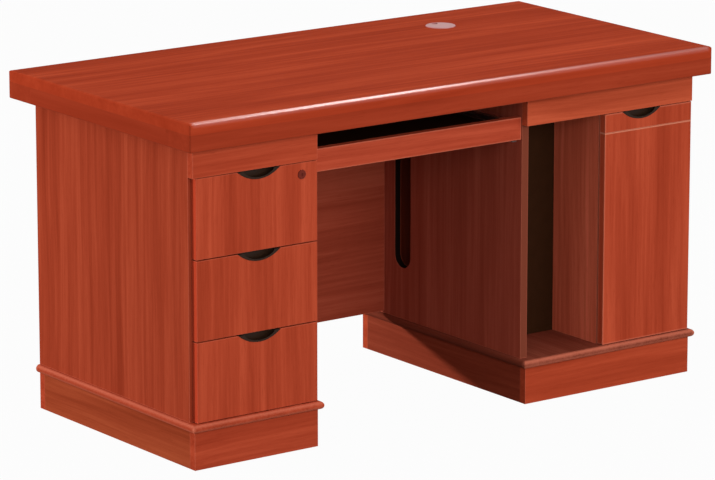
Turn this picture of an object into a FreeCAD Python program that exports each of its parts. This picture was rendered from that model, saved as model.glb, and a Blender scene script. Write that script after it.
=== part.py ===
import FreeCAD, Part
import math
import os

# Pedestal desk, millimetres.
# The origin is on the floor under the middle of the top, +X is the user's right,
# -Y faces the user and +Z is up.

# Desk top
desk_width = 1400.0
desk_depth = 700.0
desk_height = 750.0
top_board_thick = 25.0
top_strip_height = 37.0
top_strip_width = 90.0
top_corner_radius = 4.0
top_edge_radius = 10.0
top_end_radius = 4.0
strip_edge_radius = 2.5

# How far the top stands out past the pedestals
side_overhang = 28.0
front_overhang = 33.0
back_overhang = 63.0

# Pedestals
left_pedestal_width = 316.0
right_pedestal_width = 467.0
panel_thick = 18.0
back_panel_thick = 12.0
partition_thick = 16.0
plinth_height = 82.0
plinth_board_thick = 18.0
base_board_thick = 18.0
base_nose = 10.0
base_nose_flat = 0.4
rail_height = 63.0
panel_edge_radius = 1.2

# Right pedestal: open bay, cabinet shelf and cable slot
bay_width = 197.0
bay_depth = 175.0
bay_board_thick = 9.0
shelf_rise = 260.0
shelf_thick = 18.0
shelf_setback = 25.0
shelf_side_gap = 0.5
shelf_pin_radius = 2.5
shelf_pin_length = 16.0
shelf_pin_inset = 60.0
slot_width = 60.0
slot_from_back = 152.0
slot_rise = 119.0
slot_drop = 128.0

# Modesty panel
modesty_thick = 18.0
modesty_from_back = 65.0
modesty_floor_gap = 5.0

# Drawer fronts and door
drawer_count = 3
front_thick = 18.0
front_gap = 1.2
front_seat_gap = 1.0
front_left_reveal = 8.0
front_right_reveal = 0.5
door_lap = 13.0
door_corner_radius = 2.5
groove_drop = 43.0
groove_width = 3.0
groove_depth = 1.6

# Half-moon pulls
pull_half_width = 54.0
pull_depth = 20.0
pull_apex_ratio = 2.0
pull_wall = 2.2
pull_back_wall = 2.5
pull_hook = 7.0
pull_proud = 0.8
pull_clearance = 0.2
pull_shift = 4.0
door_pull_from_left = 102.5

# Drawer boxes
box_back_room = 74.0
box_drop = 39.0
box_lift = 15.0
box_side_thick = 12.0
box_back_thick = 12.0
box_bottom_thick = 5.0
box_bottom_lift = 10.0
box_groove_depth = 6.0
box_groove_clearance = 0.2

# Telescopic slides
slide_depth = 12.7
slide_height = 45.0
slide_gauge = 1.2
slide_ball = 3.0
slide_clearance = 0.3
slide_web_gap = 1.0
slide_flange_inset = 2.2
slide_front_gap = 2.0

# Keyboard tray
tray_gap = 45.0
tray_front_height = 50.0
tray_front_thick = 18.0
tray_side_gap = 2.0
tray_board_thick = 18.0
tray_board_lift = 5.0
tray_back_room = 123.0
tray_slide_short = 30.0

# Door pivots and catch
pivot_radius = 3.0
pivot_clearance = 0.05
pivot_reach = 12.0
pivot_end_gap = 0.3
door_rebate = 3.0
catch_width = 12.0
catch_length = 27.0
catch_height = 40.0
catch_drop = 24.0
catch_gap = 0.3
catch_edge_radius = 1.5
strike_thick = 2.0
strike_width = 12.0
strike_height = 30.0

# Drawer lock
lock_from_right = 40.0
lock_drop = 25.0
lock_face_radius = 10.0
lock_face_thick = 2.0
lock_body_radius = 8.0
lock_body_reach = 1.0
lock_plug_radius = 5.0
lock_clearance = 0.05
lock_face_recess = 0.4
key_slot_width = 1.4
key_slot_length = 6.5
key_slot_depth = 4.0
cam_thick = 3.0
cam_width = 12.0
cam_overlap = 12.0
cam_gap = 0.3
tail_size = 6.0
tail_spare = 1.0

# Cable grommet
grommet_from_right = 340.0
grommet_from_back = 150.0
grommet_hole_radius = 30.0
grommet_hole_clearance = 0.2
grommet_flange_width = 4.0
grommet_flange_proud = 2.0
grommet_flange_bevel = 1.0
grommet_seat_depth = 1.0
grommet_seat_clearance = 0.3
grommet_wall = 2.3
grommet_length = 23.0
grommet_ledge = 2.0
grommet_ledge_thick = 2.0
cap_height = 6.0
cap_plate = 2.5
cap_skirt = 2.5
cap_clearance = 0.3
cap_notch_width = 16.0
cap_notch_depth = 12.0

# Angle brackets under the top
bracket_leg = 30.0
bracket_thick = 2.0
bracket_length = 30.0
bracket_front_inset = 97.0
bracket_back_inset = 137.0

# Cutting tools run past the faces that they cut by this much
overcut = 1.0

# Levels and planes that follow from the sizes above
board_bottom = desk_height - top_board_thick
strip_bottom = board_bottom - top_strip_height
base_top = plinth_height + base_board_thick
rail_bottom = strip_bottom - rail_height
front_y = front_overhang - desk_depth / 2
face_back_y = front_y + front_thick
panel_front_y = face_back_y + front_seat_gap
back_y = desk_depth / 2 - back_overhang
back_panel_y = back_y - back_panel_thick
left_x0 = side_overhang - desk_width / 2
left_x1 = left_x0 + left_pedestal_width
right_x1 = desk_width / 2 - side_overhang
right_x0 = right_x1 - right_pedestal_width
bay_x0 = right_x0 + panel_thick
bay_x1 = bay_x0 + bay_width
cabinet_x0 = bay_x1 + partition_thick
cabinet_x1 = right_x1 - panel_thick
drawer_x0 = left_x0 + panel_thick
drawer_x1 = left_x1 - panel_thick
front_x0 = left_x0 + front_left_reveal
front_x1 = left_x1 - front_right_reveal
pull_x = (front_x0 + front_x1) / 2 + pull_shift
drawer_pitch = (rail_bottom - base_top) / drawer_count
box_length = back_panel_y - face_back_y - box_back_room
box_height = drawer_pitch - 2 * front_gap - box_lift - box_drop
shelf_height = base_top + shelf_rise
shelf_pin_z = shelf_height - shelf_pin_radius
slot_bottom = base_top + slot_rise
slot_top = strip_bottom - slot_drop
modesty_y = back_y - modesty_from_back - modesty_thick
modesty_bottom = base_top + modesty_floor_gap
tray_front_top = strip_bottom - tray_gap
tray_board_y = panel_front_y + tray_front_thick
tray_depth = modesty_y - tray_board_y - tray_back_room
tray_board_bottom = tray_front_top - tray_front_height + tray_board_lift
tray_slide_z = tray_board_bottom + tray_board_thick / 2
door_x0 = cabinet_x0 - door_lap
door_bottom = base_top + front_gap
door_top = rail_bottom - front_gap
pivot_x = right_x1 - front_gap - front_thick / 2
pivot_y = front_y + front_thick / 2
grommet_x = desk_width / 2 - grommet_from_right
grommet_y = desk_depth / 2 - grommet_from_back
lock_x = front_x1 - lock_from_right
lock_z = rail_bottom - front_gap - lock_drop
cam_reach = lock_drop + front_gap + cam_overlap
grommet_flange_radius = grommet_hole_radius + grommet_flange_width
grommet_seat_z = desk_height - grommet_seat_depth
grommet_rim_z = desk_height + grommet_flange_proud

along_x = FreeCAD.Vector(1, 0, 0)
along_y = FreeCAD.Vector(0, 1, 0)
along_z = FreeCAD.Vector(0, 0, 1)


def point(x, y, z):
    return FreeCAD.Vector(x, y, z)


def block(x0, x1, y0, y1, z0, z1):
    return Part.makeBox(x1 - x0, y1 - y0, z1 - z0, point(x0, y0, z0))


def rod(start, direction, radius, length):
    return Part.makeCylinder(radius, length, start, direction)


def prism(points, direction):
    return Part.Face(Part.makePolygon(points + points[:1])).extrude(direction)


def edges_where(shape, test):
    return [edge for edge in shape.Edges if all(test(vertex.Point) for vertex in edge.Vertexes)]


def near(a, b):
    return abs(a - b) < 1e-6


def save(node, *solids):
    shape = solids[0] if len(solids) == 1 else Part.makeCompound(list(solids))
    shape.exportStep("parts/" + node + ".step")


# Desk top: a board on a frame of edge and cross strips

def top_board():
    half_x = desk_width / 2
    half_y = desk_depth / 2
    slab = block(-half_x, half_x, -half_y, half_y, board_bottom, desk_height)
    uprights = [edge for edge in slab.Edges if near(edge.Length, top_board_thick)]
    upper = edges_where(slab, lambda p: near(p.z, desk_height))
    lengthwise = [edge for edge in upper if near(edge.Length, desk_width)]
    crosswise = [edge for edge in upper if near(edge.Length, desk_depth)]
    board = slab.makeFillet(top_edge_radius, lengthwise)
    board = board.common(slab.makeFillet(top_end_radius, crosswise))
    board = board.common(slab.makeFillet(top_corner_radius, uprights))
    hole = rod(point(grommet_x, grommet_y, board_bottom - overcut), along_z,
               grommet_hole_radius, top_board_thick + 2 * overcut)
    seat = rod(point(grommet_x, grommet_y, grommet_seat_z), along_z,
               grommet_flange_radius + grommet_seat_clearance, grommet_seat_depth + overcut)
    return board.cut(hole).cut(seat)


def long_strip(side):
    outer_y = side * desk_depth / 2
    inner_y = outer_y - side * top_strip_width
    half_x = desk_width / 2
    strip = block(-half_x, half_x, min(outer_y, inner_y), max(outer_y, inner_y),
                  strip_bottom, board_bottom)
    uprights = [edge for edge in strip.Edges if near(edge.Length, top_strip_height)]
    corners = [edge for edge in uprights if near(edge.CenterOfMass.y, outer_y)]
    strip = strip.makeFillet(top_corner_radius, corners)
    rim = [edge for edge in edges_where(strip, lambda p: near(p.z, strip_bottom))
           if not near(edge.CenterOfMass.y, inner_y)]
    return strip.makeFillet(strip_edge_radius, rim)


def end_strip(side):
    half_y = desk_depth / 2 - top_strip_width
    outer_x = side * desk_width / 2
    inner_x = outer_x - side * top_strip_width
    strip = block(min(outer_x, inner_x), max(outer_x, inner_x), -half_y, half_y,
                  strip_bottom, board_bottom)
    rim = edges_where(strip, lambda p: near(p.z, strip_bottom) and near(p.x, outer_x))
    return strip.makeFillet(strip_edge_radius, rim)


def cross_strip(middle_x):
    half_y = desk_depth / 2 - top_strip_width
    half_strip = top_strip_width / 2
    return block(middle_x - half_strip, middle_x + half_strip, -half_y, half_y,
                 strip_bottom, board_bottom)


def angle_bracket(wall_x, into, middle_y):
    corner = point(wall_x, middle_y - bracket_length / 2, strip_bottom)
    outline = [(0, 0), (bracket_leg, 0), (bracket_leg, -bracket_thick),
               (bracket_thick, -bracket_thick), (bracket_thick, -bracket_leg), (0, -bracket_leg)]
    points = [corner + point(into * u, 0, w) for u, w in outline]
    return prism(points, along_y * bracket_length)


# Cable grommet: a flanged sleeve and a turning cap with a cable notch

def turned(profile, x, y):
    points = [point(x + radius, y, z) for radius, z in profile]
    face = Part.Face(Part.makePolygon(points + points[:1]))
    return face.revolve(point(x, y, 0), along_z, 360)


def grommet_sleeve():
    outer = grommet_hole_radius - grommet_hole_clearance
    inner = outer - grommet_wall
    foot_z = desk_height - grommet_length
    ledge_top = grommet_rim_z - cap_height
    profile = [(inner, foot_z), (outer, foot_z), (outer, grommet_seat_z),
               (grommet_flange_radius, grommet_seat_z),
               (grommet_flange_radius, grommet_rim_z - grommet_flange_bevel),
               (grommet_flange_radius - grommet_flange_bevel, grommet_rim_z),
               (inner, grommet_rim_z), (inner, ledge_top), (inner - grommet_ledge, ledge_top),
               (inner - grommet_ledge, ledge_top - grommet_ledge_thick),
               (inner, ledge_top - grommet_ledge_thick)]
    return turned(profile, grommet_x, grommet_y)


def grommet_cap():
    outer = grommet_hole_radius - grommet_hole_clearance - grommet_wall - cap_clearance
    foot_z = grommet_rim_z - cap_height
    plate_z = grommet_rim_z - cap_plate
    profile = [(0, grommet_rim_z), (outer, grommet_rim_z), (outer, foot_z),
               (outer - cap_skirt, foot_z), (outer - cap_skirt, plate_z), (0, plate_z)]
    cap = turned(profile, grommet_x, grommet_y)
    notch_y = grommet_y + outer - cap_notch_depth
    end_y = notch_y + cap_notch_width / 2
    half = cap_notch_width / 2
    notch = block(grommet_x - half, grommet_x + half, end_y, grommet_y + outer + overcut,
                  foot_z - overcut, grommet_rim_z + overcut)
    round_end = rod(point(grommet_x, end_y, foot_z - overcut), along_z, half,
                    cap_height + 2 * overcut)
    return cap.cut(notch).cut(round_end)


# Pedestals

def softened(board, test):
    return board.makeFillet(panel_edge_radius, edges_where(board, test))


def side_panel(x0, thick=panel_thick, end_y=back_y):
    return block(x0, x0 + thick, panel_front_y, end_y, base_top, strip_bottom)


def pin_places():
    return (face_back_y + shelf_setback + shelf_pin_inset, back_panel_y - shelf_pin_inset)


def pin_holes(panel, wall_x, into):
    depth = shelf_pin_length / 2 + pivot_end_gap
    for pin_y in pin_places():
        hole = rod(point(wall_x, pin_y, shelf_pin_z), along_x * into,
                   shelf_pin_radius + pivot_clearance, depth)
        panel = panel.cut(hole)
    return panel


def knee_panel():
    panel = side_panel(right_x0)
    middle_y = back_y - slot_from_back
    half = slot_width / 2
    x = right_x0 - overcut
    through = panel_thick + 2 * overcut
    slot = block(x, x + through, middle_y - half, middle_y + half,
                 slot_bottom + half, slot_top - half)
    for end_z in (slot_bottom + half, slot_top - half):
        slot = slot.fuse(rod(point(x, middle_y, end_z), along_x, half, through))
    return panel.cut(slot)


def partition():
    panel = side_panel(bay_x1, partition_thick, back_panel_y)
    return pin_holes(panel, cabinet_x0, -1)


def right_outer_side():
    rebate = block(cabinet_x1 - overcut, right_x1 + overcut, panel_front_y - overcut,
                   face_back_y + door_rebate, base_top - overcut, rail_bottom)
    return pin_holes(side_panel(cabinet_x1).cut(rebate), cabinet_x1, 1)


def back_panel(x0, x1):
    return block(x0, x1, back_panel_y, back_y, base_top, strip_bottom)


def front_rail(x0, x1):
    rail = block(x0, x1, front_y, panel_front_y, rail_bottom, strip_bottom)
    return softened(rail, lambda p: near(p.y, front_y) and p.z < strip_bottom)


def base_board(x0, x1):
    board = block(x0 - base_nose, x1 + base_nose, front_y - base_nose, back_y,
                  plinth_height, base_top)
    nose = [edge for edge in board.Edges
            if edge.Length > base_board_thick + overcut and not near(edge.CenterOfMass.y, back_y)]
    return board.makeFillet((base_board_thick - base_nose_flat) / 2, nose)


def plinth_long_board(x0, x1, y0):
    return block(x0, x1, y0, y0 + plinth_board_thick, 0, plinth_height)


def plinth_cross_board(x0):
    return block(x0, x0 + plinth_board_thick, front_y + plinth_board_thick,
                 back_y - plinth_board_thick, 0, plinth_height)


def save_plinth(name, x0, x1):
    save(name + "_plinth_long_boards", plinth_long_board(x0, x1, front_y),
         plinth_long_board(x0, x1, back_y - plinth_board_thick))
    save(name + "_plinth_cross_boards", plinth_cross_board(x0),
         plinth_cross_board(x1 - plinth_board_thick))


def cabinet_shelf():
    return block(cabinet_x0 + shelf_side_gap, cabinet_x1 - shelf_side_gap,
                 face_back_y + shelf_setback, back_panel_y - shelf_side_gap,
                 shelf_height, shelf_height + shelf_thick)


def shelf_pins():
    pins = []
    for wall_x, into in ((cabinet_x0, 1), (cabinet_x1, -1)):
        start_x = wall_x - into * shelf_pin_length / 2
        for pin_y in pin_places():
            pins.append(rod(point(start_x, pin_y, shelf_pin_z), along_x * into,
                            shelf_pin_radius, shelf_pin_length))
    return pins


def bay_back_board():
    return block(bay_x0, bay_x1, front_y + bay_depth, front_y + bay_depth + bay_board_thick,
                 base_top, strip_bottom)


def modesty_panel():
    return block(left_x1, right_x0, modesty_y, modesty_y + modesty_thick, modesty_bottom,
                 strip_bottom)


# Fronts with a let-in half-moon pull

def half_moon(middle_x, y, top_z, half_width, depth, rise):
    flank = math.atan(depth * pull_apex_ratio / half_width)
    apex_loss = depth * (pull_apex_ratio - 1)
    bottom_radius = apex_loss / (1 / math.cos(flank) - 1)
    tangent_x = bottom_radius * math.sin(flank)
    tangent_z = top_z - (half_width - tangent_x) * math.tan(flank)
    left_top = point(middle_x - half_width, y, top_z)
    right_top = point(middle_x + half_width, y, top_z)
    left_tangent = point(middle_x - tangent_x, y, tangent_z)
    right_tangent = point(middle_x + tangent_x, y, tangent_z)
    lowest = point(middle_x, y, top_z - depth)
    rim = [right_top, left_top]
    if rise > 0:
        rim = [right_top, right_top + along_z * rise, left_top + along_z * rise, left_top]
    edges = [Part.LineSegment(left_top, left_tangent).toShape(),
             Part.Arc(left_tangent, lowest, right_tangent).toShape(),
             Part.LineSegment(right_tangent, right_top).toShape()]
    for start, end in zip(rim, rim[1:]):
        edges.append(Part.LineSegment(start, end).toShape())
    return Part.Face(Part.Wire(edges))


def pull_pocket(board, middle_x, top_z):
    face = half_moon(middle_x, front_y - overcut, top_z, pull_half_width, pull_depth, overcut)
    return board.cut(face.extrude(along_y * (front_thick + 2 * overcut)))


def door_groove(board, x0, x1):
    middle_z = door_top - groove_drop
    slope = groove_width / 2 / groove_depth
    mouth = (groove_depth + overcut) * slope
    points = [point(x0 - overcut, front_y - overcut, middle_z + mouth),
              point(x0 - overcut, front_y - overcut, middle_z - mouth),
              point(x0 - overcut, front_y + groove_depth, middle_z)]
    return board.cut(prism(points, along_x * (x1 - x0 + 2 * overcut)))


def half_moon_pull(middle_x, top_z):
    outside = half_moon(middle_x, front_y - pull_proud, top_z, pull_half_width - pull_clearance,
                        pull_depth - pull_clearance, 0)
    body = outside.extrude(along_y * (front_thick + pull_proud))
    axis_y = front_y + pull_hook
    inside = half_moon(middle_x, axis_y, top_z, pull_half_width - 2 * pull_wall,
                       pull_depth - pull_wall, 0)
    scoop = inside.revolve(point(middle_x, axis_y, top_z), along_x, 360)
    reach = block(middle_x - pull_half_width, middle_x + pull_half_width,
                  front_y - pull_proud - overcut, face_back_y - pull_back_wall,
                  top_z - pull_depth, top_z + overcut)
    return body.cut(scoop.common(reach))


def drawer_front(z0, z1):
    board = block(front_x0, front_x1, front_y, face_back_y, z0, z1)
    board = softened(board, lambda p: near(p.y, front_y))
    return pull_pocket(board, pull_x, z1)


def lock_hole(board):
    return board.cut(rod(point(lock_x, front_y - overcut, lock_z), along_y,
                         lock_body_radius + lock_clearance, front_thick + 2 * overcut))


# Drawer boxes

def drawer_box(z0):
    x0 = drawer_x0 + slide_depth
    x1 = drawer_x1 - slide_depth
    y1 = face_back_y + box_length
    bottom_z = z0 + box_bottom_lift
    bottom_reach = box_groove_depth - box_groove_clearance
    groove_low = bottom_z - box_groove_clearance
    groove_high = bottom_z + box_bottom_thick + box_groove_clearance
    groove = block(x0 + box_side_thick - box_groove_depth, x1 - box_side_thick + box_groove_depth,
                   face_back_y - overcut, y1 + overcut, groove_low, groove_high)
    sides = [block(x, x + box_side_thick, face_back_y, y1, z0, z0 + box_height).cut(groove)
             for x in (x0, x1 - box_side_thick)]
    inner_x0 = x0 + box_side_thick
    inner_x1 = x1 - box_side_thick
    back = block(inner_x0, inner_x1, y1 - box_back_thick, y1,
                 bottom_z + box_bottom_thick, z0 + box_height)
    bottom = block(inner_x0 - bottom_reach, inner_x1 + bottom_reach, face_back_y, y1,
                   bottom_z, bottom_z + box_bottom_thick)
    return sides, back, bottom


# Telescopic slides: a wall member, a middle member with its ball rows, and a drawer member

def slide_levels():
    wall_under = slide_height / 2 - slide_gauge
    middle_top = wall_under - slide_ball
    middle_under = middle_top - slide_gauge
    drawer_top = middle_under - slide_ball
    return wall_under, middle_top, middle_under, drawer_top


def slide_place(wall_x, into, y, middle_z):
    return lambda u, w: point(wall_x + into * u, y, middle_z + w)


def slide_wall_member(place, length):
    wall_under = slide_levels()[0]
    lip = slide_depth - slide_flange_inset
    top = slide_height / 2
    outline = [(0, -top), (lip, -top), (lip, -wall_under), (slide_gauge, -wall_under),
               (slide_gauge, wall_under), (lip, wall_under), (lip, top), (0, top)]
    return prism([place(u, w) for u, w in outline], along_y * length)


def slide_drawer_member(place, length):
    top = slide_levels()[3]
    under = top - slide_gauge
    tip = 2 * (slide_gauge + slide_web_gap)
    web = slide_depth - slide_gauge
    outline = [(tip, top), (slide_depth, top), (slide_depth, -top), (tip, -top),
               (tip, -under), (web, -under), (web, under), (tip, under)]
    return prism([place(u, w) for u, w in outline], along_y * length)


def slide_middle_member(place, length):
    top = slide_levels()[1]
    under = slide_levels()[2]
    web = slide_gauge + slide_web_gap
    lip = slide_depth - slide_gauge - slide_web_gap / 2
    outline = [(web, -top), (lip, -top), (lip, -under), (web + slide_gauge, -under),
               (web + slide_gauge, under), (lip, under), (lip, top), (web, top)]
    member = prism([place(u, w) for u, w in outline], along_y * length)
    row_u = (web + slide_gauge + lip) / 2
    for base, up in ((top, 1), (under, -1), (-top, -1), (-under, 1)):
        member = member.fuse(ball_row(place, row_u, base, up).extrude(along_y * length))
    return member.removeSplitter()


def ball_row(place, row_u, base, up):
    radius = slide_ball / 2
    shoulder = base + up * (slide_ball - slide_clearance - radius)
    left_foot = place(row_u - radius, base)
    right_foot = place(row_u + radius, base)
    left_shoulder = place(row_u - radius, shoulder)
    right_shoulder = place(row_u + radius, shoulder)
    crest = place(row_u, shoulder + up * radius)
    edges = [Part.LineSegment(left_foot, left_shoulder).toShape(),
             Part.Arc(left_shoulder, crest, right_shoulder).toShape(),
             Part.LineSegment(right_shoulder, right_foot).toShape(),
             Part.LineSegment(right_foot, left_foot).toShape()]
    return Part.Face(Part.Wire(edges))


def slide_pair(left_wall_x, right_wall_x, y, middle_z, length):
    places = [slide_place(left_wall_x, 1, y, middle_z), slide_place(right_wall_x, -1, y, middle_z)]
    return ([slide_wall_member(place, length) for place in places],
            [slide_middle_member(place, length) for place in places],
            [slide_drawer_member(place, length) for place in places])


def save_drawers():
    wall_members = []
    slide_y = face_back_y + slide_front_gap
    for number in range(1, drawer_count + 1):
        name = "drawer_" + str(number)
        low_z = rail_bottom - number * drawer_pitch
        front_z0 = low_z + front_gap
        front_z1 = low_z + drawer_pitch - front_gap
        front = drawer_front(front_z0, front_z1)
        save(name + "_front", lock_hole(front) if number == 1 else front)
        save(name + "_pull", half_moon_pull(pull_x, front_z1))
        box_z0 = front_z0 + box_lift
        sides, back, bottom = drawer_box(box_z0)
        save(name + "_sides", *sides)
        save(name + "_back", back)
        save(name + "_bottom", bottom)
        wall, middle, inner = slide_pair(drawer_x0, drawer_x1, slide_y, box_z0 + box_height / 2,
                                         box_length)
        wall_members += wall
        save(name + "_slide_middles", *middle)
        save(name + "_slide_inners", *inner)
    save("drawer_slide_wall_members", *wall_members)


# Keyboard tray

def save_tray():
    front = block(left_x1 + tray_side_gap, right_x0 - tray_side_gap, panel_front_y,
                  tray_board_y, tray_front_top - tray_front_height, tray_front_top)
    save("tray_front", softened(front, lambda p: near(p.y, panel_front_y)))
    board = block(left_x1 + slide_depth, right_x0 - slide_depth, tray_board_y,
                  tray_board_y + tray_depth, tray_board_bottom, tray_board_bottom + tray_board_thick)
    save("tray_board", board)
    wall, middle, inner = slide_pair(left_x1, right_x0, tray_board_y + slide_front_gap,
                                     tray_slide_z, tray_depth - tray_slide_short)
    save("tray_slide_wall_members", *wall)
    save("tray_slide_middles", *middle)
    save("tray_slide_inners", *inner)


# Cabinet door: its right edge is rounded about the pivots at the back

def pivot_holes(shape):
    radius = pivot_radius + pivot_clearance
    depth = pivot_reach + pivot_end_gap
    for level, inward in ((door_top, -1), (door_bottom, 1), (rail_bottom, 1), (base_top, -1)):
        shape = shape.cut(rod(point(pivot_x, pivot_y, level), along_z * inward, radius, depth))
    return shape


def door_panel():
    door_x1 = pivot_x + front_thick / 2
    panel = block(door_x0, door_x1, front_y, face_back_y, door_bottom, door_top)
    back_edge = edges_where(panel, lambda p: near(p.x, door_x1) and near(p.y, face_back_y))
    panel = panel.makeFillet(front_thick / 2, back_edge)
    front_edge = edges_where(panel, lambda p: near(p.x, door_x1) and near(p.y, front_y))
    panel = panel.makeFillet(door_corner_radius, front_edge)
    panel = softened(panel, lambda p: near(p.x, door_x0) and near(p.y, front_y))
    panel = door_groove(panel, door_x0, door_x1)
    panel = pull_pocket(panel, door_x0 + door_pull_from_left, door_top)
    return pivot_holes(panel)


def door_pivot_pins():
    length = 2 * pivot_reach + front_gap
    return [rod(point(pivot_x, pivot_y, low_z), along_z, pivot_radius, length)
            for low_z in (door_top - pivot_reach, base_top - pivot_reach)]


def door_catch():
    top_z = rail_bottom - catch_drop
    front = face_back_y + strike_thick + catch_gap
    body = block(cabinet_x0, cabinet_x0 + catch_width, front, front + catch_length,
                 top_z - catch_height, top_z)
    corners = edges_where(body, lambda p: near(p.x, cabinet_x0 + catch_width))
    return body.makeFillet(catch_edge_radius, corners)


def door_strike():
    middle_z = rail_bottom - catch_drop - catch_height / 2
    x0 = cabinet_x0 + front_gap
    return block(x0, x0 + strike_width, face_back_y, face_back_y + strike_thick,
                 middle_z - strike_height / 2, middle_z + strike_height / 2)


# Cam lock in the top drawer's front

def lock_housing():
    face = rod(point(lock_x, front_y - lock_face_thick, lock_z), along_y, lock_face_radius,
               lock_face_thick)
    front_rim = edges_where(face, lambda p: near(p.y, front_y - lock_face_thick))
    face = face.makeFillet(lock_face_thick / 2, front_rim)
    length = front_thick + lock_body_reach
    body = rod(point(lock_x, front_y, lock_z), along_y, lock_body_radius, length)
    bore = rod(point(lock_x, front_y - lock_face_thick - overcut, lock_z), along_y,
               lock_plug_radius + lock_clearance, lock_face_thick + length + 2 * overcut)
    return face.fuse(body).cut(bore).removeSplitter()


def lock_barrel():
    start_y = front_y - lock_face_thick + lock_face_recess
    end_y = face_back_y + lock_body_reach
    plug = rod(point(lock_x, start_y, lock_z), along_y, lock_plug_radius, end_y - start_y)
    half_tail = tail_size / 2
    tail_end = end_y + cam_gap + cam_thick + tail_spare
    tail = block(lock_x - half_tail, lock_x + half_tail, end_y, tail_end,
                 lock_z - half_tail, lock_z + half_tail)
    slot = block(lock_x - key_slot_width / 2, lock_x + key_slot_width / 2, start_y - overcut,
                 start_y + key_slot_depth, lock_z - key_slot_length / 2,
                 lock_z + key_slot_length / 2)
    return plug.fuse(tail).cut(slot)


def lock_cam():
    y = face_back_y + lock_body_reach + cam_gap
    half = cam_width / 2
    arm_x = lock_x - cam_reach + half
    cam = block(arm_x, lock_x, y, y + cam_thick, lock_z - half, lock_z + half)
    for end_x in (arm_x, lock_x):
        cam = cam.fuse(rod(point(end_x, y, lock_z), along_y, half, cam_thick))
    half_hole = tail_size / 2 + lock_clearance
    hole = block(lock_x - half_hole, lock_x + half_hole, y - overcut, y + cam_thick + overcut,
                 lock_z - half_hole, lock_z + half_hole)
    return cam.removeSplitter().cut(hole)


os.makedirs("parts", exist_ok=True)

save("top_board", top_board())
save("top_long_strips", long_strip(-1), long_strip(1))
save("top_cross_strips", end_strip(-1), end_strip(1), cross_strip(left_x1 - panel_thick / 2),
     cross_strip(right_x0 + panel_thick / 2))
bracket_walls = ((drawer_x0, 1), (drawer_x1, -1), (bay_x0, 1), (cabinet_x1, -1))
bracket_rows = (front_y + bracket_front_inset, back_y - bracket_back_inset)
save("top_brackets", *[angle_bracket(wall_x, into, row_y)
                       for wall_x, into in bracket_walls for row_y in bracket_rows])
save("grommet_sleeve", grommet_sleeve())
save("grommet_cap", grommet_cap())

save("left_outer_side", side_panel(left_x0))
save("left_inner_side", side_panel(drawer_x1))
save("left_back_panel", back_panel(drawer_x0, drawer_x1))
save("left_front_rail", front_rail(left_x0, left_x1))
save("left_base_board", base_board(left_x0, left_x1))
save_plinth("left", left_x0, left_x1)

save("right_inner_side", knee_panel())
save("partition", partition())
save("right_outer_side", right_outer_side())
save("right_back_panel", back_panel(bay_x0, cabinet_x1))
save("right_front_rail", pivot_holes(front_rail(right_x0, right_x1)))
save("right_base_board", pivot_holes(base_board(right_x0, right_x1)))
save_plinth("right", right_x0, right_x1)
save("cabinet_shelf", cabinet_shelf())
save("shelf_pins", *shelf_pins())
save("bay_back_board", bay_back_board())
save("modesty_panel", modesty_panel())

save_drawers()
save("lock_housing", lock_housing())
save("lock_barrel", lock_barrel())
save("lock_cam", lock_cam())

save_tray()

save("door_panel", door_panel())
save("door_pull", half_moon_pull(door_x0 + door_pull_from_left, door_top))
save("door_pivot_pins", *door_pivot_pins())
save("door_catch", door_catch())
save("door_strike", door_strike())
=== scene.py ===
import math
import bpy
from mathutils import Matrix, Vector


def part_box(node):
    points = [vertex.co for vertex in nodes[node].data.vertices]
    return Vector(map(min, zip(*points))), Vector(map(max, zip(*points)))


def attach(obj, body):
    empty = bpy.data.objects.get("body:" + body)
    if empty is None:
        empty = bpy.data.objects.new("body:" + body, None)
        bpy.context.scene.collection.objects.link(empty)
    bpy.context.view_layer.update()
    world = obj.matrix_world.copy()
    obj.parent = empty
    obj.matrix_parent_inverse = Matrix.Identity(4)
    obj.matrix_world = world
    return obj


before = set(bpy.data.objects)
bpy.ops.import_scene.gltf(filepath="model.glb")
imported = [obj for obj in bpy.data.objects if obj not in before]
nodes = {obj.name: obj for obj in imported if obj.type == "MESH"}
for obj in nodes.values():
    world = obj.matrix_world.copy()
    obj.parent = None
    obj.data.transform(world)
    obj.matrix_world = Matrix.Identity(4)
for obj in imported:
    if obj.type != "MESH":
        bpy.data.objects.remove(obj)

for leftover in ("Cube", "Light", "Camera"):  # what a new file may open with
    if leftover in bpy.data.objects:
        bpy.data.objects.remove(bpy.data.objects[leftover])
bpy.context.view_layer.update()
print("frame loaded, nodes:", len(nodes))


# Small helpers for node trees

def feed(tree, socket, value):
    if isinstance(value, bpy.types.NodeSocket):
        tree.links.new(value, socket)
    else:
        socket.default_value = value


def calc(tree, operation, *values, clamp=False):
    node = tree.nodes.new("ShaderNodeMath")
    node.operation = operation
    node.use_clamp = clamp
    for socket, value in zip(node.inputs, values):
        feed(tree, socket, value)
    return node.outputs[0]


def calcVector(tree, operation, *values):
    node = tree.nodes.new("ShaderNodeVectorMath")
    node.operation = operation
    for socket, value in zip(node.inputs, values):
        feed(tree, socket, value)
    return node.outputs[0]


def noise(tree, vector, stretch, detail=2.0, roughness=0.5, distortion=0.0):
    node = tree.nodes.new("ShaderNodeTexNoise")
    feed(tree, node.inputs["Vector"], calcVector(tree, "MULTIPLY", vector, stretch))
    node.inputs["Scale"].default_value = 1.0
    node.inputs["Detail"].default_value = detail
    node.inputs["Roughness"].default_value = roughness
    node.inputs["Distortion"].default_value = distortion
    return node.outputs[0]


def ranged(tree, value, low, high, toLow=0.0, toHigh=1.0):
    node = tree.nodes.new("ShaderNodeMapRange")
    node.interpolation_type = "SMOOTHSTEP"
    for name, each in (("Value", value), ("From Min", low), ("From Max", high),
                       ("To Min", toLow), ("To Max", toHigh)):
        feed(tree, node.inputs[name], each)
    return node.outputs[0]


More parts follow.
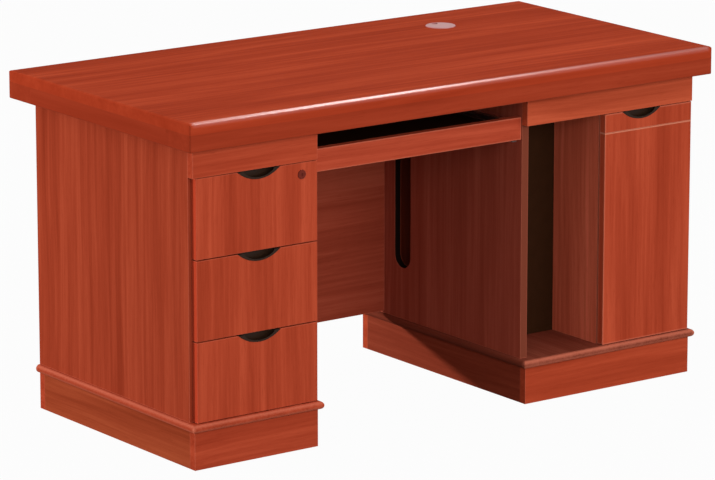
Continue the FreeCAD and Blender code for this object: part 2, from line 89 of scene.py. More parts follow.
def mixed(tree, amount, first, second, blend="MIX"):
    node = tree.nodes.new("ShaderNodeMix")
    node.data_type = "RGBA"
    node.blend_type = blend
    feed(tree, node.inputs[0], amount)
    feed(tree, node.inputs[6], first)
    feed(tree, node.inputs[7], second)
    return node.outputs[2]


def newGroup(name, inputs, outputs):
    tree = bpy.data.node_groups.new(name, "ShaderNodeTree")
    for label, kind, value in inputs:
        socket = tree.interface.new_socket(name=label, in_out="INPUT", socket_type="NodeSocket" + kind)
        socket.default_value = value
    for label, kind in outputs:
        tree.interface.new_socket(name=label, in_out="OUTPUT", socket_type="NodeSocket" + kind)
    return tree, tree.nodes.new("NodeGroupInput").outputs, tree.nodes.new("NodeGroupOutput").inputs


def placeGroup(tree, group, **values):
    node = tree.nodes.new("ShaderNodeGroup")
    node.node_tree = group
    for name, value in values.items():
        feed(tree, node.inputs[name], value)
    return node.outputs


# Shader groups shared by the finishes

figureLayers = {  # repeats per metre along and across the grain
    "wander": (0.9, 3.2, 3.2), "band": (0.45, 9.0, 9.0), "ribbon": (1.1, 30.0, 30.0),
    "streak": (2.6, 105.0, 105.0), "pore": (26.0, 900.0, 900.0),
    "sway": 0.06, "streakDetail": 4.0, "streakRoughness": 0.62, "streakWear": 0.12, "streakHeight": 0.3,
    "poreDetail": 1.0, "poreFrom": 0.60, "poreTo": 0.74, "poreTint": 0.5, "poreWear": 0.16,
}


def makeVeneerFigure():
    tree, given, result = newGroup(
        "veneerFigure",
        [("Vector", "Vector", (0, 0, 0)), ("Dark", "Color", (0, 0, 0, 1)), ("Mid", "Color", (0, 0, 0, 1)),
         ("Light", "Color", (0, 0, 0, 1)), ("Bands", "Float", 1.0), ("Streaks", "Float", 1.0),
         ("Pores", "Float", 1.0)],
        [("Color", "Color"), ("Wear", "Float"), ("Height", "Float")])
    wander = noise(tree, given["Vector"], figureLayers["wander"])
    drift = tree.nodes.new("ShaderNodeCombineXYZ")
    sway = calc(tree, "MULTIPLY", calc(tree, "SUBTRACT", wander, 0.5), figureLayers["sway"])
    feed(tree, drift.inputs[1], sway)
    feed(tree, drift.inputs[2], sway)
    line = calcVector(tree, "ADD", given["Vector"], drift.outputs[0])  # grain runs along X here
    band = noise(tree, line, figureLayers["band"])
    ribbon = noise(tree, line, figureLayers["ribbon"])
    streak = noise(tree, line, figureLayers["streak"], figureLayers["streakDetail"],
                   figureLayers["streakRoughness"])
    pore = noise(tree, line, figureLayers["pore"], figureLayers["poreDetail"])
    pore = ranged(tree, pore, figureLayers["poreFrom"], figureLayers["poreTo"])
    tone = calc(tree, "MULTIPLY", calc(tree, "SUBTRACT", band, 0.5), given["Bands"])
    ribbonTone = calc(tree, "MULTIPLY", calc(tree, "SUBTRACT", ribbon, 0.5), given["Bands"])
    streakTone = calc(tree, "MULTIPLY", calc(tree, "SUBTRACT", streak, 0.5), given["Streaks"])
    tone = calc(tree, "ADD", calc(tree, "ADD", tone, ribbonTone), calc(tree, "ADD", streakTone, 0.5))
    lower = calc(tree, "MULTIPLY", tone, 2.0, clamp=True)
    upper = calc(tree, "MULTIPLY_ADD", tone, 2.0, -1.0, clamp=True)
    color = mixed(tree, upper, mixed(tree, lower, given["Dark"], given["Mid"]), given["Light"])
    poreDepth = calc(tree, "MULTIPLY", pore, given["Pores"])
    poreTint = calc(tree, "MULTIPLY", poreDepth, figureLayers["poreTint"])
    streakWear = calc(tree, "MULTIPLY", streak, figureLayers["streakWear"])
    streakHeight = calc(tree, "MULTIPLY", streak, figureLayers["streakHeight"])
    feed(tree, result["Color"], mixed(tree, poreTint, color, given["Dark"]))
    feed(tree, result["Wear"], calc(tree, "MULTIPLY_ADD", poreDepth, figureLayers["poreWear"], streakWear))
    feed(tree, result["Height"], calc(tree, "SUBTRACT", streakHeight, poreDepth))
    return tree


edgeFlaws = {"stretch": (240.0, 240.0, 240.0), "detail": 3.0}  # what makes an edge mask uneven: the lighter edges, partly wear and partly painted highlight
ledgeFade = 1.3  # a ledge's mask fades out from its half width to this many


def makeEdgeTouch():
    tree, given, result = newGroup(
        "edgeTouch",
        [("Vector", "Vector", (0, 0, 0)), ("Low", "Vector", (0, 0, 0)), ("High", "Vector", (0, 0, 0)),
         ("Width", "Float", 0.002), ("Unevenness", "Float", 1.0)],
        [("Mask", "Float")])
    fromLow = calcVector(tree, "ABSOLUTE", calcVector(tree, "SUBTRACT", given["Vector"], given["Low"]))
    fromHigh = calcVector(tree, "ABSOLUTE", calcVector(tree, "SUBTRACT", given["High"], given["Vector"]))
    split = tree.nodes.new("ShaderNodeSeparateXYZ")
    feed(tree, split.inputs[0], calcVector(tree, "MINIMUM", fromLow, fromHigh))
    x, y, z = split.outputs
    lesser = calc(tree, "MINIMUM", x, y)
    greater = calc(tree, "MAXIMUM", x, y)
    second = calc(tree, "MAXIMUM", lesser, calc(tree, "MINIMUM", greater, z))  # distance to the nearest edge
    flaws = noise(tree, given["Vector"], edgeFlaws["stretch"], edgeFlaws["detail"])
    uneven = calc(tree, "MULTIPLY_ADD", calc(tree, "SUBTRACT", flaws, 0.5), given["Unevenness"], 1.0)
    reach = calc(tree, "MULTIPLY", given["Width"], uneven)
    feed(tree, result["Mask"], ranged(tree, second, 0.0, reach, 1.0, 0.0))
    return tree


def makeLedge():
    tree, given, result = newGroup(
        "ledge", [("Height", "Float", 0.0), ("Middle", "Float", 0.0), ("Half", "Float", 0.001)],
        [("Mask", "Float")])
    away = calc(tree, "ABSOLUTE", calc(tree, "SUBTRACT", given["Height"], given["Middle"]))
    reach = calc(tree, "MULTIPLY", given["Half"], ledgeFade)
    feed(tree, result["Mask"], ranged(tree, away, given["Half"], reach, 1.0, 0.0))
    return tree


mouldedLayers = {"cloud": (34.0, 34.0, 34.0), "cloudDetail": 4.0, "cloudRoughness": 0.6,
                 "grainShare": 0.35, "cloudShare": 0.65}


def makeMouldedGrain():
    tree, given, result = newGroup(
        "mouldedGrain", [("Vector", "Vector", (0, 0, 0)), ("Size", "Float", 1500.0)],
        [("Tone", "Float"), ("Height", "Float")])
    grain = tree.nodes.new("ShaderNodeTexVoronoi")
    grain.feature = "SMOOTH_F1"
    feed(tree, grain.inputs["Vector"], given["Vector"])
    feed(tree, grain.inputs["Scale"], given["Size"])
    feed(tree, result["Height"], grain.outputs["Distance"])
    cloud = noise(tree, given["Vector"], mouldedLayers["cloud"], mouldedLayers["cloudDetail"],
                  mouldedLayers["cloudRoughness"])
    cloudTone = calc(tree, "MULTIPLY", cloud, mouldedLayers["cloudShare"])
    tone = calc(tree, "MULTIPLY_ADD", grain.outputs["Distance"], mouldedLayers["grainShare"], cloudTone)
    feed(tree, result["Tone"], tone)
    return tree


steelLayers = {"lines": (420.0, 4.0, 420.0), "linesShare": 0.6, "spangle": (120.0, 70.0, 120.0),
               "spangleDetail": 3.0, "spangleRoughness": 0.6, "spangleTwist": 0.4, "spangleShare": 0.4}


def makeDrawnSteel():
    tree, given, result = newGroup(
        "drawnSteel", [("Vector", "Vector", (0, 0, 0))], [("Tone", "Float"), ("Height", "Float")])
    lines = noise(tree, given["Vector"], steelLayers["lines"])
    spangle = noise(tree, given["Vector"], steelLayers["spangle"], steelLayers["spangleDetail"],
                    steelLayers["spangleRoughness"], steelLayers["spangleTwist"])
    spangleTone = calc(tree, "MULTIPLY", spangle, steelLayers["spangleShare"])
    feed(tree, result["Tone"], calc(tree, "MULTIPLY_ADD", lines, steelLayers["linesShare"], spangleTone))
    feed(tree, result["Height"], lines)
    return tree


veneerFigure = makeVeneerFigure()
edgeTouch = makeEdgeTouch()
ledge = makeLedge()
mouldedGrain = makeMouldedGrain()
drawnSteel = makeDrawnSteel()


# Finishes

def startMaterial(name):
    material = bpy.data.materials.new(name)
    material.use_nodes = True
    tree = material.node_tree
    shader = tree.nodes["Principled BSDF"]
    place = tree.nodes.new("ShaderNodeTexCoord").outputs["Object"]
    return material, tree, shader, place


def addBump(tree, shader, height, strength, distance):
    bump = tree.nodes.new("ShaderNodeBump")
    bump.inputs["Strength"].default_value = strength
    bump.inputs["Distance"].default_value = distance
    feed(tree, bump.inputs["Height"], height)
    feed(tree, shader.inputs["Normal"], bump.outputs[0])


grainTurn = {"x": (0, 0, 0), "y": (0, 0, -math.pi / 2), "z": (0, math.pi / 2, 0)}  # turns the grain onto X

veneer = {
    "dark": (0.245, 0.0270, 0.0100, 1), "mid": (0.372, 0.0500, 0.0205, 1), "light": (0.520, 0.0840, 0.0365, 1),
    # edge: lighter edges, partly wear and partly painted highlight; line: a painted highlight along the door's
    # groove
    "edge": (0.560, 0.1500, 0.0880, 1), "band": (0.185, 0.0430, 0.0235, 1), "line": (0.560, 0.1900, 0.1150, 1),
    # the end-face colour is painted light on the drawer fronts' ends, lighter than the wood
    # the near-black colour goes on the slot's cut walls: a black trim, and painted shade inside the slot
    "paintedEndLight": (0.450, 0.0500, 0.0200, 1), "trimAndShade": (0.010, 0.0050, 0.0040, 1),
    "endDepth": 0.003, "endGrainAndShadeAmount": 0.7, "frontShadeAmount": 0.4,  # the top's ends, darker as end grain and as painted shade, and its front face, darker as painted shade
    "bandDepth": 0.0006, "grooveHighlightHalf": 0.0017, "trimAndShadeShare": 0.48,
    "bands": 0.9, "streaks": 0.9, "pores": 0.8, "roughness": 0.50, "wornRoughness": 0.1, "specular": 0.0015,
    "coatWidth": 0.013, "coatEnd": 0.015, "coat": 1.0, "coatRoughness": 0.31, "coatIor": 1.8,
    "bump": 0.16, "bumpDepth": 0.00014,
}
leafStep = (0.83, 0.37, 0.59)  # each board is cut from another leaf
farAway = 9.0  # metres, past every board
topSpan = (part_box("top_long_strips")[0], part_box("top_board")[1])  # board and strips read as one thick top
topBoards = ("top_board", "top_long_strips", "top_cross_strips")
coatedBoards = ("top_board", "top_long_strips")
bandedBoards = ("right_inner_side", "partition")
paintedEndLightBoards = ("drawer_1_front", "drawer_2_front", "drawer_3_front")
grooveHighlightBoards = {"door_panel": 0.5808}  # the groove's height, where a painted highlight runs along the door
slottedBoards = {"right_inner_side": (0.135, 0.0315)}  # the slot's middle and half width along Y
edgeWearAndHighlights = {  # width and amount of the lighter edge, partly wear and partly painted highlight, as on the base boards' nose, the door's edges and the tray front's top
    "left_base_board": (0.010, 0.7), "right_base_board": (0.012, 0.78), "door_panel": (0.004, 0.65),
    "tray_front": (0.004, 0.6),
}
plainWearAndHighlight = (0.0018, 0.35)
kneeSides = {"left_base_board": (0, farAway), "right_base_board": (-farAway, 0)}  # no lighter edge there: the knee sides lie in shade, so they get no painted highlight


def makeVeneer(name, grain, offset, paintedLightTint, node):
    material, tree, shader, place = startMaterial(name)
    turn = tree.nodes.new("ShaderNodeMapping")
    feed(tree, turn.inputs["Vector"], place)
    turn.inputs["Rotation"].default_value = grainTurn[grain]
    turn.inputs["Location"].default_value = offset
    # the wood's colours times the board's tint, which paints light and shade onto the board
    colors = {part: tuple(c * tint for c, tint in zip(veneer[part], paintedLightTint)) + (1,)
              for part in ("dark", "mid", "light")}
    figure = placeGroup(tree, veneerFigure, Vector=turn.outputs[0], Dark=colors["dark"], Mid=colors["mid"],
                        Light=colors["light"], Bands=veneer["bands"], Streaks=veneer["streaks"],
                        Pores=veneer["pores"])
    low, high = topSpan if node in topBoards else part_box(node)
    width, amount = edgeWearAndHighlights.get(node, plainWearAndHighlight)
    nearer, further = kneeSides.get(node, (0, 0))
    touch = placeGroup(tree, edgeTouch, Vector=place, Low=(low[0] + nearer, low[1], low[2]),
                       High=(high[0] + further, high[1], high[2]), Width=width)
    wearAndHighlight = calc(tree, "MULTIPLY", touch["Mask"], amount)
    color = figure["Color"]
    split = tree.nodes.new("ShaderNodeSeparateXYZ")
    feed(tree, split.inputs[0], place)
    # the top's end faces are darker as end grain and as painted shade; its front face is darker as painted
    # shade
    if node in topBoards:
        across = calc(tree, "ABSOLUTE", split.outputs["X"])
        endGrainAndShade = ranged(tree, across, high[0] - veneer["endDepth"], high[0] - veneer["endDepth"] / 2)
        color = mixed(tree, calc(tree, "MULTIPLY", endGrainAndShade, veneer["endGrainAndShadeAmount"]), color, colors["dark"])
        front = ranged(tree, split.outputs["Y"], low[1] + veneer["endDepth"] / 2, low[1] + veneer["endDepth"],
                       veneer["frontShadeAmount"], 0.0)
        color = mixed(tree, front, color, colors["dark"])
    if node in bandedBoards:
        band = placeGroup(tree, ledge, Height=split.outputs["Y"], Middle=low[1], Half=veneer["bandDepth"])
        color = mixed(tree, band["Mask"], color, veneer["band"])
    # painted light: the drawer fronts' end faces are painted lighter than the wood, lifting the shade the side
    # panel casts on them
    if node in paintedEndLightBoards:
        reach = calc(tree, "ABSOLUTE", calc(tree, "SUBTRACT", split.outputs["X"], (low[0] + high[0]) / 2))
        endLightMask = placeGroup(tree, ledge, Height=reach, Middle=(high[0] - low[0]) / 2, Half=veneer["bandDepth"])
        color = mixed(tree, endLightMask["Mask"], color, veneer["paintedEndLight"])
    # lighter edges, partly wear and partly painted highlight
    color = mixed(tree, wearAndHighlight, color, veneer["edge"])
    # the slot's cut walls are painted near black: a black trim, and painted shade inside the slot
    if node in slottedBoards:
        middle, half = slottedBoards[node]
        thick = placeGroup(tree, ledge, Height=split.outputs["X"], Middle=(low[0] + high[0]) / 2,
                           Half=(high[0] - low[0]) * veneer["trimAndShadeShare"] / ledgeFade)
        gap = placeGroup(tree, ledge, Height=split.outputs["Y"], Middle=middle, Half=half)
        color = mixed(tree, calc(tree, "MULTIPLY", thick["Mask"], gap["Mask"]), color, veneer["trimAndShade"])
    # a painted highlight: a lighter line along the door's groove
    if node in grooveHighlightBoards:
        line = placeGroup(tree, ledge, Height=split.outputs["Z"], Middle=grooveHighlightBoards[node],
                          Half=veneer["grooveHighlightHalf"])
        color = mixed(tree, line["Mask"], color, veneer["line"])
    feed(tree, shader.inputs["Base Color"], color)
    rough = calc(tree, "ADD", figure["Wear"], veneer["roughness"])
    feed(tree, shader.inputs["Roughness"], calc(tree, "MULTIPLY_ADD", wearAndHighlight, veneer["wornRoughness"], rough))
    shader.inputs["Specular IOR Level"].default_value = veneer["specular"]
    if node in coatedBoards:
        gloss = placeGroup(tree, edgeTouch, Vector=place, Low=(-farAway, low[1], -farAway),
                           High=(farAway, farAway, high[2]), Width=veneer["coatWidth"],
                           Unevenness=0.0)  # the front upper edge alone
        inside = ranged(tree, across, high[0] - veneer["coatEnd"], high[0] - veneer["endDepth"],
                        veneer["coat"], 0.0)
        feed(tree, shader.inputs["Coat Weight"], calc(tree, "MULTIPLY", gloss["Mask"], inside))
        shader.inputs["Coat Roughness"].default_value = veneer["coatRoughness"]
        shader.inputs["Coat IOR"].default_value = veneer["coatIor"]
    addBump(tree, shader, figure["Height"], veneer["bump"], veneer["bumpDepth"])
    return material


veneerBoards = {  # node: (grain, leaf, tint of red, green and blue). The tints are painted light and shade: the partition, the knee side and the right rail are painted lighter and less red to lift their shade, the bay floor, the knee-side plinth and the modesty panel are painted darker as shade, and the top, its strips and the left side are painted lighter or darker to even out their light
    "top_board": ("x", 0, (1.13, 1.03, 0.90)), "top_long_strips": ("x", 0, (0.95, 0.92, 0.88)),
    "top_cross_strips": ("y", 1, (0.94, 0.90, 0.86)),
    "left_front_rail": ("x", 3, (1.02, 1.02, 1.02)), "right_front_rail": ("x", 4, (1.22, 1.48, 1.50)),
    "left_plinth_long_boards": ("x", 5, (0.98, 0.96, 0.95)),
    "right_plinth_long_boards": ("x", 6, (1.1, 1.1, 1.05)),
    "tray_front": ("x", 7, (1.06, 1.1, 1.2)), "modesty_panel": ("x", 35, (0.82, 0.97, 1.18)),
    "left_base_board": ("y", 9, (1, 1, 1)), "right_base_board": ("y", 10, (0.53, 0.80, 1.08)),
    "left_plinth_cross_boards": ("y", 11, (0.76, 0.93, 0.83)),
    "right_plinth_cross_boards": ("y", 12, (0.67, 0.82, 0.95)), "cabinet_shelf": ("y", 13, (1, 1, 1)),
    "left_outer_side": ("z", 30, (0.795, 0.81, 0.80)), "left_inner_side": ("z", 15, (1, 1, 1)),
    "right_inner_side": ("z", 16, (0.89, 1.18, 1.6)), "partition": ("z", 17, (1.5, 2.12, 2.6)),
    "right_outer_side": ("z", 18, (1, 1, 1)),
    "left_back_panel": ("z", 19, (0.97, 0.97, 0.97)), "right_back_panel": ("z", 20, (0.97, 0.97, 0.97)),
    "door_panel": ("z", 21, (1.05, 1.06, 1.06)), "drawer_1_front": ("z", 22, (1, 1, 1)),
    "drawer_2_front": ("z", 23, (1.02, 1.04, 1.03)), "drawer_3_front": ("z", 24, (1.04, 1.06, 1.06)),
}


def putOn(node, material):
    mesh = nodes[node].data
    mesh.materials.clear()
    mesh.materials.append(material)


for node, (grain, leaf, paintedLightTint) in veneerBoards.items():
    offset = tuple(step * leaf for step in leafStep)
    putOn(node, makeVeneer("veneer_" + node, grain, offset, paintedLightTint, node))
print("veneered boards:", len(veneerBoards))


boxWood = {
    "dark": (0.16, 0.035, 0.016, 1), "mid": (0.25, 0.058, 0.026, 1), "light": (0.33, 0.088, 0.042, 1),
    "bands": 0.4, "streaks": 0.4, "pores": 0.25, "roughness": 0.44, "specular": 0.3,
    "bump": 0.08, "bumpDepth": 0.0001, "leafStep": (0.31, 0.17, 0.53),
}


def makeBoxWood(name, offset):
    material, tree, shader, place = startMaterial(name)
    turn = tree.nodes.new("ShaderNodeMapping")
    feed(tree, turn.inputs["Vector"], place)
    turn.inputs["Rotation"].default_value = grainTurn["y"]
    turn.inputs["Location"].default_value = offset
    figure = placeGroup(tree, veneerFigure, Vector=turn.outputs[0], Dark=boxWood["dark"], Mid=boxWood["mid"],
                        Light=boxWood["light"], Bands=boxWood["bands"], Streaks=boxWood["streaks"],
                        Pores=boxWood["pores"])
    feed(tree, shader.inputs["Base Color"], figure["Color"])
    feed(tree, shader.inputs["Roughness"], calc(tree, "ADD", figure["Wear"], boxWood["roughness"]))
    shader.inputs["Specular IOR Level"].default_value = boxWood["specular"]
    addBump(tree, shader, figure["Height"], boxWood["bump"], boxWood["bumpDepth"])
    return material


for number in (1, 2, 3):
    board = makeBoxWood("drawer_wood_%d" % number, tuple(step * number for step in boxWood["leafStep"]))
    for part in ("sides", "back", "bottom"):
        putOn("drawer_%d_%s" % (number, part), board)


mouldedParts = {
    "pull": {"color": (0.012, 0.0058, 0.0032, 1), "pale": (0.030, 0.0140, 0.0075, 1), "size": 2400.0,
             "roughness": 0.42, "spread": 0.16, "specular": 0.12, "bump": 0.10, "bumpDepth": 0.00008},
    "laminate": {"color": (0.018, 0.0062, 0.0022, 1), "pale": (0.037, 0.0130, 0.0050, 1), "size": 900.0,
                 "roughness": 0.60, "spread": 0.14, "specular": 0.06, "bump": 0.25, "bumpDepth": 0.0002},
    "grommet": {"color": (0.40, 0.142, 0.134, 1), "pale": (0.50, 0.188, 0.178, 1), "size": 2600.0,
                "roughness": 0.42, "spread": 0.14, "specular": 0.3, "bump": 0.08, "bumpDepth": 0.00006},
}


def makeMoulded(name, finish):
    material, tree, shader, place = startMaterial(name)
    grain = placeGroup(tree, mouldedGrain, Vector=place, Size=finish["size"])
    feed(tree, shader.inputs["Base Color"], mixed(tree, grain["Tone"], finish["color"], finish["pale"]))
    smoothest = finish["roughness"] - finish["spread"] / 2
    rough = calc(tree, "MULTIPLY_ADD", grain["Tone"], finish["spread"], smoothest)
    feed(tree, shader.inputs["Roughness"], rough)
    shader.inputs["Specular IOR Level"].default_value = finish["specular"]
    addBump(tree, shader, grain["Height"], finish["bump"], finish["bumpDepth"])
    return material


pullBlack = makeMoulded("pull_black", mouldedParts["pull"])
laminateBlack = makeMoulded("laminate_black", mouldedParts["laminate"])
grommetGrey = makeMoulded("grommet_grey", mouldedParts["grommet"])
for node in ("drawer_1_pull", "drawer_2_pull", "drawer_3_pull", "door_pull", "door_catch"):
    putOn(node, pullBlack)
for node in ("tray_board", "bay_back_board"):
    putOn(node, laminateBlack)
for node in ("grommet_sleeve", "grommet_cap"):
    putOn(node, grommetGrey)


metals = {
    "zinc": {"dark": (0.44, 0.455, 0.475, 1), "light": (0.60, 0.615, 0.635, 1),
             "roughness": 0.42, "spread": 0.12, "bump": 0.02, "bumpDepth": 0.00003},
    "screw": {"dark": (0.30, 0.31, 0.33, 1), "light": (0.58, 0.59, 0.62, 1),
              "roughness": 0.30, "spread": 0.16, "bump": 0.05, "bumpDepth": 0.00005},
    "lock": {"dark": (0.100, 0.014, 0.009, 1), "light": (0.22, 0.039, 0.026, 1),
             "roughness": 0.30, "spread": 0.14, "bump": 0.05, "bumpDepth": 0.00004},
}


def makeMetal(name, finish):
    material, tree, shader, place = startMaterial(name)
    drawn = placeGroup(tree, drawnSteel, Vector=place)
    feed(tree, shader.inputs["Base Color"], mixed(tree, drawn["Tone"], finish["dark"], finish["light"]))
    smoothest = finish["roughness"] - finish["spread"] / 2
    rough = calc(tree, "MULTIPLY_ADD", drawn["Tone"], finish["spread"], smoothest)
    feed(tree, shader.inputs["Roughness"], rough)
    shader.inputs["Metallic"].default_value = 1.0
    addBump(tree, shader, drawn["Height"], finish["bump"], finish["bumpDepth"])
    return material


zincSteel = makeMetal("zinc_steel_drawn", metals["zinc"])
lockMetal = makeMetal("lock_dark_nickel", metals["lock"])
steelNodes = ["drawer_slide_wall_members", "tray_slide_wall_members", "tray_slide_middles",
              "tray_slide_inners", "top_brackets", "door_pivot_pins", "shelf_pins", "door_strike"]
for number in (1, 2, 3):
    steelNodes += ["drawer_%d_slide_middles" % number, "drawer_%d_slide_inners" % number]
for node in steelNodes:
    putOn(node, zincSteel)
for node in ("lock_housing", "lock_barrel", "lock_cam"):
    putOn(node, lockMetal)
print("finishes done")


# Screws that hold the brackets, the slides and the catch

screw = {"Radius": 0.0037, "Top Share": 0.82, "Height": 0.0008, "Cross Length": 0.0044, "Cross Width": 0.0009,
         "Cross Depth": 0.0005}
screwFacets = 24


def makeScrewTree():
    tree = bpy.data.node_groups.new("crossHeadScrews", "GeometryNodeTree")
    tree.interface.new_socket(name="Places", in_out="INPUT", socket_type="NodeSocketGeometry")
    for label in screw:
        tree.interface.new_socket(name=label, in_out="INPUT", socket_type="NodeSocketFloat")
    tree.interface.new_socket(name="Finish", in_out="INPUT", socket_type="NodeSocketMaterial")
    tree.interface.new_socket(name="Screws", in_out="OUTPUT", socket_type="NodeSocketGeometry")
    given = tree.nodes.new("NodeGroupInput").outputs
    head = tree.nodes.new("GeometryNodeMeshCone")
    head.inputs["Vertices"].default_value = screwFacets
    feed(tree, head.inputs["Radius Top"], calc(tree, "MULTIPLY", given["Radius"], given["Top Share"]))
    feed(tree, head.inputs["Radius Bottom"], given["Radius"])
    feed(tree, head.inputs["Depth"], given["Height"])
    recess = tree.nodes.new("GeometryNodeMeshBoolean")
    recess.operation = "DIFFERENCE"
    recess.solver = "EXACT"
    feed(tree, recess.inputs["Mesh 1"], head.outputs["Mesh"])
    lift = tree.nodes.new("ShaderNodeCombineXYZ")
    feed(tree, lift.inputs["Z"], given["Height"])
    deep = calc(tree, "MULTIPLY", given["Cross Depth"], 2.0)  # half of a blade stands above the head
    for across, along in (("X", "Y"), ("Y", "X")):
        size = tree.nodes.new("ShaderNodeCombineXYZ")
        feed(tree, size.inputs[across], given["Cross Width"])
        feed(tree, size.inputs[along], given["Cross Length"])
        feed(tree, size.inputs["Z"], deep)
        blade = tree.nodes.new("GeometryNodeMeshCube")
        feed(tree, blade.inputs["Size"], size.outputs[0])
        move = tree.nodes.new("GeometryNodeTransform")
        feed(tree, move.inputs["Geometry"], blade.outputs["Mesh"])
        feed(tree, move.inputs["Translation"], lift.outputs[0])
        feed(tree, recess.inputs["Mesh 2"], move.outputs[0])
    aim = tree.nodes.new("GeometryNodeInputNamedAttribute")
    aim.data_type = "FLOAT_VECTOR"
    aim.inputs["Name"].default_value = "aim"
    turn = tree.nodes.new("FunctionNodeAlignRotationToVector")
    turn.axis = "Z"
    feed(tree, turn.inputs["Vector"], aim.outputs["Attribute"])
    spread = tree.nodes.new("GeometryNodeInstanceOnPoints")
    feed(tree, spread.inputs["Points"], given["Places"])
    feed(tree, spread.inputs["Instance"], recess.outputs["Mesh"])
    feed(tree, spread.inputs["Rotation"], turn.outputs["Rotation"])
    real = tree.nodes.new("GeometryNodeRealizeInstances")
    feed(tree, real.inputs["Geometry"], spread.outputs["Instances"])
    dress = tree.nodes.new("GeometryNodeSetMaterial")
    feed(tree, dress.inputs["Geometry"], real.outputs["Geometry"])
    feed(tree, dress.inputs["Material"], given["Finish"])
    feed(tree, tree.nodes.new("NodeGroupOutput").inputs["Screws"], dress.outputs["Geometry"])
    return tree


screwTree = makeScrewTree()
screwSteel = makeMetal("screw_steel", metals["screw"])


def placeScrews(body, spots):
    mesh = bpy.data.meshes.new("screw_places")
    mesh.from_pydata([place for place, aim in spots], [], [])
    aims = mesh.attributes.new("aim", "FLOAT_VECTOR", "POINT")
    aims.data.foreach_set("vector", [part for place, aim in spots for part in aim])
    carrier = bpy.data.objects.new("screw_places", mesh)
    bpy.context.scene.collection.objects.link(carrier)
    modifier = carrier.modifiers.new("screws", "NODES")
    modifier.node_group = screwTree
    for item in screwTree.interface.items_tree:
        if item.name in screw:
            modifier[item.identifier] = screw[item.name]
        elif item.name == "Finish":
            modifier[item.identifier] = screwSteel
    ready = carrier.evaluated_get(bpy.context.evaluated_depsgraph_get())
    piece = bpy.data.objects.new("screws_" + body, bpy.data.meshes.new_from_object(ready))
    bpy.data.objects.remove(carrier)
    bpy.context.scene.collection.objects.link(piece)
    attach(piece, body)


fixings = {"bracketInset": 0.015, "bracketReach": 0.018, "bracketThick": 0.002, "slideGauge": 0.0012,
           "slideSteps": (0.035, 0.110, 0.185), "catchInset": 0.008}
left, right, down = (-1, 0, 0), (1, 0, 0), (0, 0, -1)


def carcassSpots():
    spots = []
    low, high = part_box("top_brackets")
    walls = ((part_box("left_outer_side")[1][0], right), (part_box("left_inner_side")[0][0], left),
             (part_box("right_inner_side")[1][0], right), (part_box("right_outer_side")[0][0], left))
    for wall, aim in walls:
        for y in (low[1] + fixings["bracketInset"], high[1] - fixings["bracketInset"]):
            upright = (wall + aim[0] * fixings["bracketThick"], y, high[2] - fixings["bracketReach"])
            flat = (wall + aim[0] * fixings["bracketReach"], y, high[2] - fixings["bracketThick"])
            spots += [(upright, aim), (flat, down)]
    low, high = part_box("door_catch")
    for z in (low[2] + fixings["catchInset"], high[2] - fixings["catchInset"]):
        spots.append(((high[0], (low[1] + high[1]) / 2, z), right))
    return spots


def slideSpots(boards, members):
    low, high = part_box(members)
    middle = (low[2] + high[2]) / 2
    inner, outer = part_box(boards)
    spots = []
    for step in fixings["slideSteps"]:
        spots.append(((inner[0] - fixings["slideGauge"], low[1] + step, middle), left))
        spots.append(((outer[0] + fixings["slideGauge"], low[1] + step, middle), right))
    return spots


placeScrews("carcass", carcassSpots())
placeScrews("keyboard_tray", slideSpots("tray_board", "tray_slide_inners"))
for number in (1, 2, 3):
    drawer = "drawer_%d" % number
    placeScrews(drawer, slideSpots(drawer + "_sides", drawer + "_slide_inners"))
print("screws placed")


# Floor, light and camera

stage = {"floorSize": 60.0, "floorColor": (0.20, 0.20, 0.20, 1), "floorWhite": 0.97,
         "skyLight": 0.43, "overhead": 0.42}


def seenDirectly(tree):
    path = tree.nodes.new("ShaderNodeLightPath").outputs
    seen = calc(tree, "MAXIMUM", path["Is Camera Ray"], path["Is Glossy Ray"])
    return calc(tree, "MAXIMUM", seen, path["Is Transmission Ray"])


def makeFloor():
    half = stage["floorSize"] / 2
    mesh = bpy.data.meshes.new("floor")
    corners = [(-half, -half, 0), (half, -half, 0), (half, half, 0), (-half, half, 0)]
    mesh.from_pydata(corners, [], [(0, 1, 2, 3)])
    floor = bpy.data.objects.new("floor", mesh)
    bpy.context.scene.collection.objects.link(floor)
    material, tree, shader, place = startMaterial("floor_pale")
    shader.inputs["Base Color"].default_value = stage["floorColor"]
    shader.inputs["Roughness"].default_value = 1.0
    shader.inputs["Specular IOR Level"].default_value = 0.0
    glow = tree.nodes.new("ShaderNodeEmission")
    blend = tree.nodes.new("ShaderNodeMixShader")
    feed(tree, blend.inputs[0], calc(tree, "MULTIPLY", seenDirectly(tree), stage["floorWhite"]))
    feed(tree, blend.inputs[1], shader.outputs[0])
    feed(tree, blend.inputs[2], glow.outputs[0])
    feed(tree, tree.nodes["Material Output"].inputs["Surface"], blend.outputs[0])
    mesh.materials.append(material)


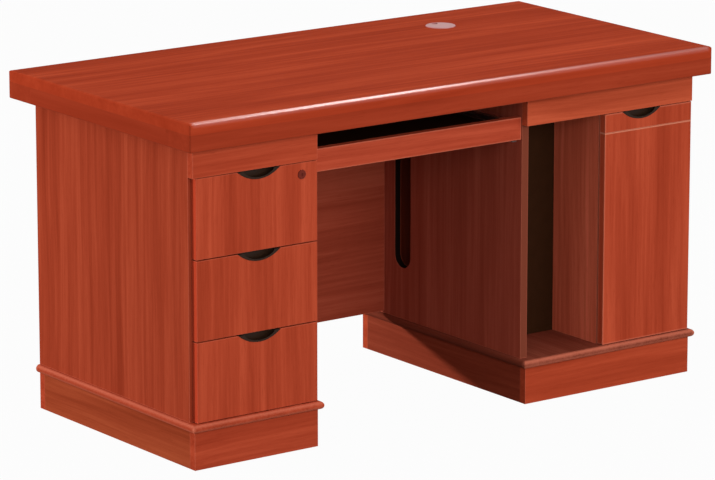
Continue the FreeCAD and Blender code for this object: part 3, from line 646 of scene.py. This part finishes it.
def makeSky():
    world = bpy.data.worlds.new("studio")
    bpy.context.scene.world = world
    world.use_nodes = True
    tree = world.node_tree
    ground = tree.nodes["Background"]
    ground.inputs["Color"].default_value = (1, 1, 1, 1)
    way = tree.nodes.new("ShaderNodeSeparateXYZ")
    feed(tree, way.inputs[0], tree.nodes.new("ShaderNodeTexCoord").outputs["Generated"])
    up = calc(tree, "MAXIMUM", way.outputs["Z"], 0.0)
    soft = calc(tree, "MULTIPLY_ADD", calc(tree, "MULTIPLY", up, up), stage["overhead"], stage["skyLight"])
    seen = seenDirectly(tree)
    strength = calc(tree, "MULTIPLY_ADD", soft, calc(tree, "SUBTRACT", 1.0, seen), seen)
    feed(tree, ground.inputs["Strength"], strength)


lamps = {  # place, aim, width, height, watts, mirrored only
    "backLamp": ((-4.6, 3.9, 1.20), (-0.1, 0.0, 0.2), 0.25, 0.25, 305.0, False),
    "frontLamp": ((-0.1, -4.6, 1.75), (0.0, -0.3, 0.5), 7.0, 2.0, 187.0, False),
    "edgeLamp": ((0.96, -0.05, 2.35), (0.96, -0.35, 0.75), 0.5, 2.6, 70.0, True),
}


def makeLamp(name, place, aim, width, height, watts, mirrored):
    light = bpy.data.lights.new(name, "AREA")
    light.shape = "RECTANGLE"
    light.size = width
    light.size_y = height
    light.energy = watts
    lamp = bpy.data.objects.new(name, light)
    lamp.location = place
    lamp.rotation_euler = (Vector(aim) - Vector(place)).to_track_quat("-Z", "Y").to_euler()
    lamp.visible_camera = False
    lamp.visible_glossy = mirrored
    lamp.visible_diffuse = not mirrored
    bpy.context.scene.collection.objects.link(lamp)


view = {"azimuth": -36.170, "elevation": 13.529, "distance": 9.6677, "target": (-0.16128, -0.19316, 0.400),
        "lens": 225.78, "sensor": 36.0, "reach": 100.0}


def makeCamera():
    data = bpy.data.cameras.new("camera")
    data.lens = view["lens"]
    data.sensor_width = view["sensor"]
    data.sensor_fit = "HORIZONTAL"
    data.clip_end = view["reach"]
    camera = bpy.data.objects.new("camera", data)
    azimuth = math.radians(view["azimuth"])
    elevation = math.radians(view["elevation"])
    back = Vector((math.sin(azimuth) * math.cos(elevation), -math.cos(azimuth) * math.cos(elevation),
                   math.sin(elevation)))
    camera.location = Vector(view["target"]) + back * view["distance"]
    camera.rotation_euler = back.to_track_quat("Z", "Y").to_euler()
    bpy.context.scene.collection.objects.link(camera)
    bpy.context.scene.camera = camera


makeFloor()
makeSky()
for name, values in lamps.items():
    makeLamp(name, *values)
makeCamera()
bpy.context.scene.view_settings.view_transform = "Standard"
print("floor, lamps and camera done")
